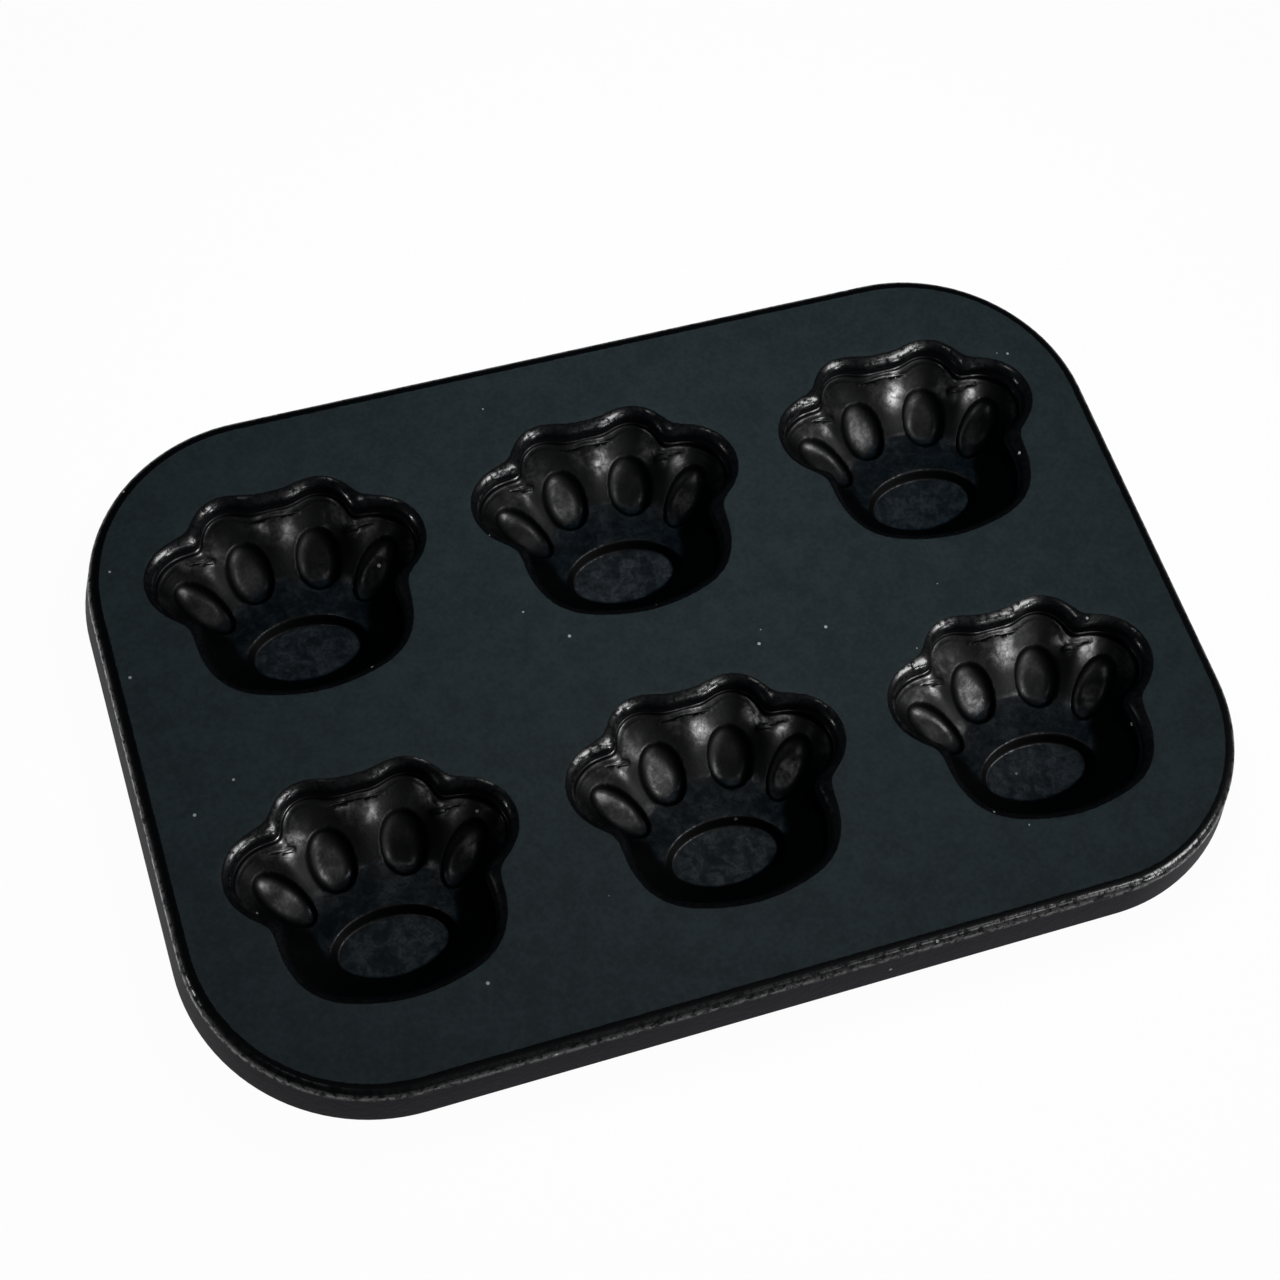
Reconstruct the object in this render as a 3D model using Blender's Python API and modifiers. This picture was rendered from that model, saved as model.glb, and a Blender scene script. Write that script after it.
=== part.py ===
"""Bear paw pastry mould for six pastries.

A pressed steel plate has six paw-shaped openings, each with a rounded lip and a short collar.
Its skirt is folded down and curled round a border wire. A drawn paw cup hangs in each opening,
and the mould stands on the flat undersides of the six heel hollows.
Sizes are in metres, +Z is up and the paws' toes point along +Y.
"""
import math

import bmesh
import bpy

# Plate: length and width are taken over the skirt, just under the rounded top edge
PLATE_LENGTH = 0.3000
PLATE_WIDTH = 0.2062
PLATE_CORNER_RADIUS = 0.0518
PLATE_SHEET = 0.0010
TOP_EDGE_RADIUS = 0.0026
SKIRT_HEIGHT = 0.0165
SKIRT_FLARE = 0.0019
HEM_CURL_DEGREES = 240.0

# Border wire inside the curled hem
WIRE_DIAMETER = 0.0030

# Gap that touching pieces keep
CLEARANCE = 0.0003

# Grid of paws
PAW_COLUMNS = 3
PAW_ROWS = 2
PAW_PITCH_X = 0.09425
PAW_PITCH_Y = 0.09135

# Paw outline at the plate's top face: circles and an ellipse, joined by soft webs
INNER_TOE_X = 0.0134
INNER_TOE_Y = 0.0231
INNER_TOE_RADIUS = 0.0107
OUTER_TOE_X = 0.0269
OUTER_TOE_Y = 0.0093
OUTER_TOE_RADIUS = 0.01415
PALM_Y = 0.0141
PALM_RADIUS = 0.0175
HEEL_Y = -0.0104
HEEL_HALF_WIDTH = 0.0308
HEEL_HALF_LENGTH = 0.0240
SHOULDER_X = 0.0166
SHOULDER_Y = -0.0179
SHOULDER_RADIUS = 0.0099
OUTLINE_WEB = 0.0030

# Lip of each opening
LIP_RADIUS = 0.0036
COLLAR_DEPTH = 0.0052

# Cup sheet and the narrow flange under the plate
CUP_SHEET = 0.0010
FLANGE_WIDTH = 0.0035

# Hollow of the cup, with depths taken from the plate's top face; the wall stands in a narrow band
WALL_DEGREES = 82.0
WALL_BAND = 0.0012
HOLLOW_SIDE = 1.3
HOLLOW_BLEND = 0.0018
RIDGE_DEPTH = 0.0057
RIDGE_SLOPE = 0.20
PLATEAU_DEPTH = 0.0148
PALM_HOLLOW_Y = -0.0045
PALM_HOLLOW_HALF_WIDTH = 0.0360
PALM_HOLLOW_HALF_LENGTH = 0.0295
PALM_HOLLOW_FLAT = 0.52

# Toe hollows: the depth is at the middle of the pad, and the floor rises towards the toe's tip,
# more and more gently past the given share of the pad's half length
TOE_HOLLOW_DEPTH = 0.0120
TOE_HOLLOW_RISE = 0.42
TOE_RISE_SPAN = 1.5

# Toe pads: ovals sunk in the toes' floors, each the given share of its toe's hollow; turns are from +Y
TOE_PAD_SINK = 0.0024
TOE_PAD_FLAT = 0.45
INNER_PAD_X = 0.0099
INNER_PAD_Y = 0.0140
INNER_PAD_HALF_WIDTH = 0.0063
INNER_PAD_HALF_LENGTH = 0.0084
INNER_PAD_TURN = 6.5
INNER_PAD_SHARE = 0.36
OUTER_PAD_X = 0.0248
OUTER_PAD_Y = 0.0063
OUTER_PAD_HALF_WIDTH = 0.0052
OUTER_PAD_HALF_LENGTH = 0.0094
OUTER_PAD_TURN = 42.0
OUTER_PAD_SHARE = 0.42

# Heel pad: a flat-bottomed oval sunk in the plateau, with a narrow sloping rim
HEEL_PAD_SINK = 0.0034
HEEL_PAD_Y = -0.0126
HEEL_PAD_HALF_WIDTH = 0.0170
HEEL_PAD_HALF_LENGTH = 0.0106
HEEL_PAD_RIM = 0.0019

# Roundness of the pads' sides, where 1 is a straight slope
TOE_PAD_SIDE = 2.0
HEEL_PAD_SIDE = 1.1

# Fineness of the facets
PAW_STEPS = 36
CORNER_STEPS = 8
LIP_STEPS = 3
EDGE_STEPS = 3
HEM_STEPS = 6
WIRE_STEPS = 2
SEARCH_STEPS = 40
SHARP_DEGREES = 40.0
WALL_RINGS = (0.35, 1.0)
FLOOR_RINGS = (0.86, 0.73, 0.61, 0.49, 0.37, 0.25, 0.12)

# Finishes as linear colours
COATING_COLOUR = (0.015, 0.023, 0.024, 1.0)
COATING_ROUGHNESS = 0.52
CUP_COLOUR = (0.006, 0.009, 0.012, 1.0)
CUP_ROUGHNESS = 0.38
WIRE_COLOUR = (0.36, 0.36, 0.35, 1.0)
WIRE_ROUGHNESS = 0.40

# Depth of the lowest point of a hollow, and the height of the top face above the table
DEEPEST = PLATEAU_DEPTH + HEEL_PAD_SINK
TOP_Z = DEEPEST + CUP_SHEET

# The seat of the cup follows the plate's underside and the back of the collar
FLANGE_DEPTH = PLATE_SHEET + CLEARANCE
GROOVE_INSET = LIP_RADIUS - PLATE_SHEET - CLEARANCE
SEAM_DEPTH = COLLAR_DEPTH + CLEARANCE

# The hem wraps the wire with clearance
HEM_RADIUS = WIRE_DIAMETER / 2 + CLEARANCE + PLATE_SHEET
HEM_CENTRE_DEPTH = SKIRT_HEIGHT - HEM_RADIUS


def clear_scene():
    """Remove what the opened file holds."""
    for item in list(bpy.data.objects):
        bpy.data.objects.remove(item, do_unlink=True)
    for group in list(bpy.data.collections):
        bpy.data.collections.remove(group)


def coated(name, colour, roughness, metallic):
    """Principled material with one colour."""
    material = bpy.data.materials.new(name)
    material.use_nodes = True
    shader = material.node_tree.nodes["Principled BSDF"]
    shader.inputs["Base Color"].default_value = colour
    shader.inputs["Roughness"].default_value = roughness
    shader.inputs["Metallic"].default_value = metallic
    material.diffuse_color = colour
    return material


def paw_field(x, y):
    """Signed distance to the paw outline, negative inside it."""
    circles = [(0.0, PALM_Y, PALM_RADIUS)]
    for side in (-1, 1):
        circles.append((side * INNER_TOE_X, INNER_TOE_Y, INNER_TOE_RADIUS))
        circles.append((side * OUTER_TOE_X, OUTER_TOE_Y, OUTER_TOE_RADIUS))
        circles.append((side * SHOULDER_X, SHOULDER_Y, SHOULDER_RADIUS))
    distances = [math.hypot(x - cx, y - cy) - radius for cx, cy, radius in circles]
    u = x / HEEL_HALF_WIDTH
    v = (y - HEEL_Y) / HEEL_HALF_LENGTH
    reach = math.hypot(u, v)
    slope = math.hypot(u / HEEL_HALF_WIDTH, v / HEEL_HALF_LENGTH)
    if slope > 0:
        distances.append((reach - 1) * reach / slope)
    total = sum(math.exp(-d / OUTLINE_WEB) for d in distances)
    return -OUTLINE_WEB * math.log(total)


def paw_radius(angle, inset):
    """Distance from the paw's centre to its outline moved inwards by the inset."""
    near = 0.0
    far = PAW_PITCH_X
    for _ in range(SEARCH_STEPS):
        middle = (near + far) / 2
        if paw_field(middle * math.cos(angle), middle * math.sin(angle)) > -inset:
            far = middle
        else:
            near = middle
    return (near + far) / 2


def paw_ring(inset, depth, share=1.0, fixed_depth=True):
    """Points round the paw; past the wall the depth follows the hollow."""
    points = []
    for step in range(PAW_STEPS):
        angle = 2 * math.pi * step / PAW_STEPS + math.pi / 2
        radius = share * paw_radius(angle, inset)
        x = radius * math.cos(angle)
        y = radius * math.sin(angle)
        points.append((x, y, -depth if fixed_depth else -hollow_depth(x, y)))
    return points


def turned(x, y, centre_x, centre_y, turn):
    """Offsets across and along an axis through a centre; the axis is turned from +Y."""
    angle = math.radians(turn)
    dx = x - centre_x
    dy = y - centre_y
    across = dx * math.cos(angle) + dy * math.sin(angle)
    along = -dx * math.sin(angle) + dy * math.cos(angle)
    return across, along


def bowl(reach, flat, depth, side):
    """Depth of a bowl with a flat middle; a larger side exponent gives rounder sides."""
    if reach >= 1:
        return 0.0
    if reach <= flat:
        return depth
    return depth * (1 - ((reach - flat) / (1 - flat)) ** side) ** (1 / side)


def rim_share(inner, outer):
    """Share of the way from the edge of an inner oval to that of an outer one, given both reaches."""
    if outer >= 1:
        return 1.0
    if inner <= 1:
        return 0.0
    return (inner - 1) / (inner - outer)


def palm_depth(x, y):
    """Depth of the hollow under the palm and the heel."""
    across = x / PALM_HOLLOW_HALF_WIDTH
    along = (y - PALM_HOLLOW_Y) / PALM_HOLLOW_HALF_LENGTH
    return bowl(math.hypot(across, along), PALM_HOLLOW_FLAT, PLATEAU_DEPTH, HOLLOW_SIDE)


def heel_pad_sink(x, y):
    """Depth of the heel pad under the plateau."""
    y -= HEEL_PAD_Y
    outer = math.hypot(x / HEEL_PAD_HALF_WIDTH, y / HEEL_PAD_HALF_LENGTH)
    floor_half_width = HEEL_PAD_HALF_WIDTH - HEEL_PAD_RIM
    floor_half_length = HEEL_PAD_HALF_LENGTH - HEEL_PAD_RIM
    inner = math.hypot(x / floor_half_width, y / floor_half_length)
    return bowl(rim_share(inner, outer), 0.0, HEEL_PAD_SINK, HEEL_PAD_SIDE)


def toe_pads():
    """Centre, half sizes, turn and share of each toe pad."""
    inner = (INNER_PAD_HALF_WIDTH, INNER_PAD_HALF_LENGTH)
    outer = (OUTER_PAD_HALF_WIDTH, OUTER_PAD_HALF_LENGTH)
    for side in (-1, 1):
        yield side * INNER_PAD_X, INNER_PAD_Y, *inner, -side * INNER_PAD_TURN, INNER_PAD_SHARE
        yield side * OUTER_PAD_X, OUTER_PAD_Y, *outer, -side * OUTER_PAD_TURN, OUTER_PAD_SHARE


def toe_depth(x, y, pad):
    """Depth of a toe's hollow, and the depth of its pad under the hollow's floor."""
    centre_x, centre_y, half_width, half_length, turn, share = pad
    across, along = turned(x, y, centre_x, centre_y, turn)
    reach = math.hypot(across / half_width, along / half_length)
    span = TOE_RISE_SPAN * half_length
    rise = TOE_HOLLOW_RISE * span * math.tanh(along / span)
    floor = bowl(reach * share, share, TOE_HOLLOW_DEPTH, HOLLOW_SIDE) - rise
    return floor, bowl(reach, TOE_PAD_FLAT, TOE_PAD_SINK, TOE_PAD_SIDE)


def hollow_depth(x, y):
    """Depth of the cup's inner face under the plate's top face."""
    inset = -paw_field(x, y)
    wall = SEAM_DEPTH + (inset - LIP_RADIUS) * math.tan(math.radians(WALL_DEGREES))
    ridge = RIDGE_DEPTH + (inset - LIP_RADIUS) * RIDGE_SLOPE
    floors = [ridge, palm_depth(x, y)]
    sink = heel_pad_sink(x, y)
    for pad in toe_pads():
        floor, pad_sink = toe_depth(x, y, pad)
        floors.append(floor)
        sink = max(sink, pad_sink)
    blended = HOLLOW_BLEND * math.log(sum(math.exp(depth / HOLLOW_BLEND) for depth in floors))
    if inset < LIP_RADIUS + WALL_BAND:
        blended = min(wall - sink, blended)
    return min(blended + sink, DEEPEST)


def plate_ring(outset, depth):
    """Rounded rectangle round the plate, moved outwards from the plate's length and width."""
    radius = PLATE_CORNER_RADIUS + outset
    corner_x = PLATE_LENGTH / 2 - PLATE_CORNER_RADIUS
    corner_y = PLATE_WIDTH / 2 - PLATE_CORNER_RADIUS
    points = []
    for quarter, (sx, sy) in enumerate(((1, 1), (-1, 1), (-1, -1), (1, -1))):
        for step in range(CORNER_STEPS + 1):
            angle = math.pi / 2 * (quarter + step / CORNER_STEPS)
            x = sx * corner_x + radius * math.cos(angle)
            y = sy * corner_y + radius * math.sin(angle)
            points.append((x, y, -depth))
    return points


def add_loop(mesh, points, offset=(0.0, 0.0)):
    """Closed loop of vertices and edges."""
    verts = [mesh.verts.new((x + offset[0], y + offset[1], z)) for x, y, z in points]
    edges = [mesh.edges.new((a, b)) for a, b in zip(verts, verts[1:] + verts[:1])]
    return verts, edges


def bridge(mesh, upper, lower):
    """Band of faces between two loops with as many points."""
    count = len(upper)
    for i in range(count):
        j = (i + 1) % count
        mesh.faces.new((upper[i], lower[i], lower[j], upper[j]))


def finish(mesh, name, material, collection, location, sheet, even):
    """Object with its wall given by Solidify under the modelled face."""
    data = bpy.data.meshes.new(name)
    mesh.to_mesh(data)
    mesh.free()
    data.materials.append(material)
    data.shade_smooth()
    data.set_sharp_from_angle(angle=math.radians(SHARP_DEGREES))
    return place(data, name, collection, location, sheet, even)


def place(data, name, collection, location, sheet, even):
    """Put a mesh in the collection as an object of its own."""
    item = bpy.data.objects.new(name, data)
    item.location = location
    collection.objects.link(item)
    wall = item.modifiers.new("sheet", "SOLIDIFY")
    wall.thickness = sheet
    wall.offset = -1.0
    wall.use_even_offset = even
    return item


def paw_centres():
    """Centres of the paws, row by row from the near left one."""
    for row in range(PAW_ROWS):
        for column in range(PAW_COLUMNS):
            x = (column - (PAW_COLUMNS - 1) / 2) * PAW_PITCH_X
            y = (row - (PAW_ROWS - 1) / 2) * PAW_PITCH_Y
            yield x, y


def make_plate(collection, material):
    """Top face, six lips with collars, rounded top edge, skirt and curled hem as one sheet."""
    mesh = bmesh.new()
    outer, border = add_loop(mesh, plate_ring(-TOP_EDGE_RADIUS, 0.0))
    lips = []
    for centre in paw_centres():
        verts, edges = add_loop(mesh, paw_ring(0.0, 0.0), centre)
        lips.append((centre, verts))
        border += edges
    bmesh.ops.triangle_fill(mesh, edges=border, use_beauty=True, normal=(0, 0, 1))
    for centre, upper in lips:
        for step in range(1, LIP_STEPS + 1):
            angle = math.pi / 2 * step / LIP_STEPS
            ring = paw_ring(LIP_RADIUS * math.sin(angle), LIP_RADIUS * (1 - math.cos(angle)))
            lower, _ = add_loop(mesh, ring, centre)
            bridge(mesh, upper, lower)
            upper = lower
        lower, _ = add_loop(mesh, paw_ring(LIP_RADIUS, COLLAR_DEPTH), centre)
        bridge(mesh, upper, lower)
    for outset, depth in skirt_profile():
        lower, _ = add_loop(mesh, plate_ring(outset, depth))
        bridge(mesh, outer, lower)
        outer = lower
    bmesh.ops.recalc_face_normals(mesh, faces=mesh.faces)
    top = max(mesh.faces, key=lambda face: face.calc_area())
    if top.normal.z < 0:
        bmesh.ops.reverse_faces(mesh, faces=mesh.faces)
    return finish(mesh, "frame_plate", material, collection, (0, 0, TOP_Z), PLATE_SHEET, True)


def skirt_profile():
    """Outset and depth of each line round the skirt, from the top face down to the curled hem."""
    for step in range(1, EDGE_STEPS + 1):
        angle = math.pi / 2 * step / EDGE_STEPS
        yield TOP_EDGE_RADIUS * (math.sin(angle) - 1), TOP_EDGE_RADIUS * (1 - math.cos(angle))
    for step in range(HEM_STEPS + 1):
        angle = math.radians(HEM_CURL_DEGREES) * step / HEM_STEPS
        outset = SKIRT_FLARE + HEM_RADIUS * (math.cos(angle) - 1)
        yield outset, HEM_CENTRE_DEPTH + HEM_RADIUS * math.sin(angle)


def make_wire(collection, material):
    """Border wire: one closed loop in the curl of the hem."""
    curve = bpy.data.curves.new("border_wire", "CURVE")
    curve.dimensions = "3D"
    curve.bevel_depth = WIRE_DIAMETER / 2
    curve.bevel_resolution = WIRE_STEPS
    points = plate_ring(SKIRT_FLARE - HEM_RADIUS, HEM_CENTRE_DEPTH)
    spline = curve.splines.new("POLY")
    spline.points.add(len(points) - 1)
    for point, (x, y, z) in zip(spline.points, points):
        point.co = (x, y, z, 1.0)
    spline.use_cyclic_u = True
    curve.materials.append(material)
    item = bpy.data.objects.new("border_wire", curve)
    item.location = (0, 0, TOP_Z)
    collection.objects.link(item)
    return item


def make_cup_mesh():
    """Inner face of a cup: flange, groove for the collar, wall and the hollow's floor."""
    mesh = bmesh.new()
    rings = [paw_ring(-FLANGE_WIDTH, FLANGE_DEPTH)]
    rings.append(paw_ring(0.0, FLANGE_DEPTH))
    rings.append(paw_ring(GROOVE_INSET, LIP_RADIUS))
    rings.append(paw_ring(GROOVE_INSET, SEAM_DEPTH))
    rings.append(paw_ring(LIP_RADIUS, SEAM_DEPTH))
    for share in WALL_RINGS:
        rings.append(paw_ring(LIP_RADIUS + share * WALL_BAND, 0.0, fixed_depth=False))
    for share in FLOOR_RINGS:
        rings.append(paw_ring(LIP_RADIUS + WALL_BAND, 0.0, share, fixed_depth=False))
    upper, _ = add_loop(mesh, rings[0])
    for ring in rings[1:]:
        lower, _ = add_loop(mesh, ring)
        bridge(mesh, upper, lower)
        upper = lower
    centre = mesh.verts.new((0.0, 0.0, -hollow_depth(0.0, 0.0)))
    for a, b in zip(upper, upper[1:] + upper[:1]):
        mesh.faces.new((a, centre, b))
    bmesh.ops.recalc_face_normals(mesh, faces=mesh.faces)
    bmesh.ops.triangulate(mesh, faces=mesh.faces)
    lowest = min(mesh.faces, key=lambda face: face.calc_center_median().z)
    if lowest.normal.z < 0:
        bmesh.ops.reverse_faces(mesh, faces=mesh.faces)
    return mesh


def make_cups(collection, material):
    """Six cups that share one mesh."""
    cups = []
    for number, (x, y) in enumerate(paw_centres(), start=1):
        name = f"paw_cup_{number}"
        location = (x, y, TOP_Z)
        if cups:
            cups.append(place(cups[0].data, name, collection, location, CUP_SHEET, False))
        else:
            mesh = make_cup_mesh()
            cups.append(finish(mesh, name, material, collection, location, CUP_SHEET, False))
    return cups


def main():
    clear_scene()
    collection = bpy.data.collections.new("bear_paw_mould")
    bpy.context.scene.collection.children.link(collection)
    coating = coated("dark_coating", COATING_COLOUR, COATING_ROUGHNESS, 0.0)
    cup_coating = coated("cup_coating", CUP_COLOUR, CUP_ROUGHNESS, 0.0)
    bare_wire = coated("wire_steel", WIRE_COLOUR, WIRE_ROUGHNESS, 1.0)
    frame = bpy.data.objects.new("mould_frame", None)
    collection.objects.link(frame)
    parts = [make_plate(collection, coating), make_wire(collection, bare_wire)]
    parts += make_cups(collection, cup_coating)
    for item in parts:
        item.parent = frame


main()
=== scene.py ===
"""Bear paw pastry mould: the coated plate, its border wire and the six paw cups.

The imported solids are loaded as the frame. Each operator then makes one kind of piece round them,
and the last one sets the floor, the lamps and the camera.
"""
import math
from types import SimpleNamespace

import bmesh
import bpy
from bpy.props import FloatProperty, FloatVectorProperty, IntProperty, PointerProperty
from mathutils import Matrix, Vector


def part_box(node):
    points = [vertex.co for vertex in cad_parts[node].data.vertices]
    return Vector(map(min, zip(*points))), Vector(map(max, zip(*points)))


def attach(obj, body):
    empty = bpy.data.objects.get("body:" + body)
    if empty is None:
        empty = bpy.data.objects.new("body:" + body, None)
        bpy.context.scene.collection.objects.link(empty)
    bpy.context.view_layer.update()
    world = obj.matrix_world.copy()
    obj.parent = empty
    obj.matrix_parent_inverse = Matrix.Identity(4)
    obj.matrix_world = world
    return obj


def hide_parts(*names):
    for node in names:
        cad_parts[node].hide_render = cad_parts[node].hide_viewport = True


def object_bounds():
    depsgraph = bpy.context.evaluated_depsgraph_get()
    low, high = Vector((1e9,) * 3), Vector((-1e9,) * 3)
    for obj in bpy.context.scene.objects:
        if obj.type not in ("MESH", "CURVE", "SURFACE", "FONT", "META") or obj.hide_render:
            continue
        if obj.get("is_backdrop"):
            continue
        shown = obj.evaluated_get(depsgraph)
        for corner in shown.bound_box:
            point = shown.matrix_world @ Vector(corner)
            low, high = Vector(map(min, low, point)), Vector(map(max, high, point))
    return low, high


bl_info = {
    "name": "Bear paw pastry mould",
    "version": (1, 0, 0),
    "blender": (4, 5, 0),
    "location": "3D View > Sidebar > Mould",
    "description": "Six-cup paw mould with a coated plate, a wired hem and a plain studio",
    "category": "Add Mesh",
}

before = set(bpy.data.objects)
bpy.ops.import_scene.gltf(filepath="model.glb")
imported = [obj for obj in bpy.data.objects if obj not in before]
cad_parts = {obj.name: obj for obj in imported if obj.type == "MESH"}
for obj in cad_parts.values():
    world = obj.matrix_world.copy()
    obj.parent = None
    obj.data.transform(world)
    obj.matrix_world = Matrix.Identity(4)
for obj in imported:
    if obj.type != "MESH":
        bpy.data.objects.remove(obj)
SOLIDS_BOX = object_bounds()
PLATE_LOW, PLATE_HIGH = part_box("frame_plate")
CUPS = [f"paw_cup_{number}" for number in range(1, 7)]

# Steps of the round parts, and the distance within which points are merged
CORNER_STEPS = 28
LIP_STEPS = 9
EDGE_STEPS = 8
HEM_STEPS = 24
WIRE_STEPS = 16
MERGE = 0.000002

# Flat rings on the top, outside a lip and inside the rounded edge, and how many of each grid's
# first rings keep the top's own colour before the lip and edge are painted dark as shade
LIP_MARGIN = 0.0005
LIP_PLAIN = 3
EDGE_MARGINS = (0.0011, 0.0004)
EDGE_PLAIN = 1

# How far under the plate's top an edge may lie and still count as level with it
TOP_SLACK = 0.00001

# Search for a paw's outline: where it starts, its halvings, the rough points for each point that is
# kept, and the tick and the rounds of a move square to the outline
FAR_OUT = 0.060
HALVINGS = 30
ROUGH = 4
TICK = 0.00001
ROUNDS = 5

# A cup's rings have this many times the points of a lip's ring
CUP_DENSITY = 2

# Shares of the wall's band at which its rings lie
WALL_SHARES = (0.12, 0.25, 0.40, 0.55, 0.70, 0.85, 1.0)

# How softly the wall runs into the floor: the least is at the band's inner edge, and the rest is
# added towards the collar
WALL_BLEND = 0.0009
LEAST_BLEND = 0.0001

# A hollow's floor starts some cells past the wall's band. The seam between them is looked for past a
# share of the band, and smoothed from a share of the band to some cells past the seam
FLOOR_CELLS = 0.8
SEAM_SHARE = 0.9
SMOOTH_SHARE = 0.35
SMOOTH_CELLS = 2
SMOOTH_ROUNDS = 5
SMOOTH_FACTOR = 0.5

# Gloss of a hollow, and its flat floor, where the coating keeps its colour while the rest is painted
# near black as shade. Each fade has its start and its width: over the way out from an oval's centre,
# for the palm from its flat on, along or across a toe pad, over the share of a crest, over Y, or
# over how level the surface is
HEEL_FADE = (0.9, 0.2)
PALM_FADE = (-0.04, 0.30)
# The palm's floor is painted darker than the heel's as shade, and gets less gloss
PALM_SHADE_AND_GLOSS = 0.6
FLAT_LEVEL = (0.90, 0.08)
PAD_FADE = (0.6, 0.3)
PAD_GLOSS = 0.18
PAD_LEVEL = (0.80, 0.10)
PAST_PAD = (0.6, 0.5)
BESIDE_PAD = (0.7, 0.6)
PAST_DIM = 0.95
CREST_FADE = (0.06, 0.36)
CREST_LEVEL = (0.62, 0.24)
TOES_FADE = (0.0, 0.006)

# Noises of the coatings, in metres or in grains, and their middle value
CLOUD_SIZE = 0.008
BLOTCH_SIZE = 0.0045
STREAK_SIZE = 0.0012
CRUMB_GRAINS = 1.8
FINE_GRAINS = 1.6
HOLLOW_GRAINS = 2.0
NOISE_MIDDLE = 0.5

# Low and high end of each fade in the coatings; the first two are depths under the plate's top
BEND_DEPTHS = (0.00003, 0.00030)
# Past the skirt's depths the coating takes the skirt's painted shade tone
SKIRT_DEPTHS = (0.0026, 0.0042)
RIM_FADE = (0.35, 0.75)
SHADE_FADE = (0.35, 0.65)
PEBBLE_FADE = (0.39, 0.56)
BLOTCH_FADE = (0.36, 0.64)

# Darkest and lightest tint of each coating's colour, and the tint that paints a hollow's slopes
# near black as shade
TOP_TINTS = (0.82, 1.16)
SKIRT_TINTS = (0.8, 1.2)
HOLLOW_TINTS = (0.5, 1.5)
STEEL_TINTS = (0.75, 1.0)
SLOPE_SHADE = 0.06

# How ragged the rim's painted shade ends
RIM_RAGGED = 0.9

# Roughness of the top with its swing, and of the wire with what the scratches add
TOP_ROUGHNESS = 0.50
TOP_SWING = 0.10
STEEL_ROUGHNESS = 0.30
STREAK_ROUGHNESS = 0.20

# Least share of the relief on the flat top, and of the gloss under the blotches and the fine grain
TOP_RELIEF = 0.25
BLOTCH_GLOSS = 0.25
FINE_GLOSS = 0.35

# Height of the bumps, in reliefs of the coating, and of the wire's scratches in metres
PLATE_RELIEF = 2.4
HOLLOW_RELIEF = 0.8
STREAK_RELIEF = 0.00004

# Dust: the size of a speck as a share of the spacing, and its colour
DUST_REACH = 0.036
DUST_TONE = (0.45, 0.46, 0.47)

# The floor's half side and the camera's sensor in millimetres
FLOOR_HALF = 3.0
SENSOR = 36.0

# Name, azimuth and elevation in degrees, distance and side in metres, watts, and the rays that see
# the lamp: diffuse ones, glossy ones or both
LAMPS = (
    ("fill_lamp", 140, 76, 0.30, 0.16, 0.72, "diffuse"),
    ("pad_lamp", 68, 55, 1.3, 0.30, 1.5, "glossy"),
    ("right_lamp", 53, 35, 1.3, 0.60, 44.0, "glossy"),
    ("near_lamp", 24, 22, 1.3, 0.25, 3.0, "glossy"),
    ("low_right_lamp", 36, 5, 1.2, 0.12, 7.1, "both"),
    ("low_left_lamp", -94, 4.5, 1.1, 0.10, 3.6, "both"),
    ("left_lamp", -62, 68, 1.3, 0.20, 2.2, "glossy"),
    ("back_lamp", 155, 61, 1.4, 0.40, 0.18, "glossy"),
)


def length(name, default, description):
    """Property for a size in metres."""
    return FloatProperty(name=name, description=description, default=default, unit="LENGTH", precision=5)


def lengths(name, default, description):
    """Property for a place with sizes, in metres."""
    return FloatVectorProperty(name=name, description=description, default=default, size=len(default),
                               unit="LENGTH")


def number(name, default, description):
    """Property for a plain number."""
    return FloatProperty(name=name, description=description, default=default, precision=3)


def turn(name, degrees, description):
    """Property for an angle, given in degrees."""
    return FloatProperty(name=name, description=description, default=math.radians(degrees), unit="ROTATION")


def colour(name, default, description):
    """Property for a linear colour."""
    return FloatVectorProperty(name=name, description=description, default=default, subtype="COLOR",
                               size=3, min=0, max=1)


class PlateSizes(bpy.types.PropertyGroup):
    """Sizes of the plate, its skirt and its wire."""

    sheet: length("Sheet", 0.0010, "Thickness of the plate")
    corner: length("Corner radius", 0.0518, "Radius of the plate's corners at the skirt")
    edge: length("Top edge", 0.0026, "Radius of the rounded top edge")
    flare: length("Flare", 0.0019, "How far the skirt leans out at its foot")
    curl: turn("Curl", 240, "How far the hem goes round the wire")
    wire: length("Wire", 0.0030, "Diameter of the border wire")
    gap: length("Gap", 0.0003, "Clearance round the wire, the collars and the cups' flanges")
    lip: length("Lip radius", 0.0036, "Radius of the rounded lip of each opening")
    collar: length("Collar", 0.0052, "Depth of the collar's foot under the plate's top")


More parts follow.
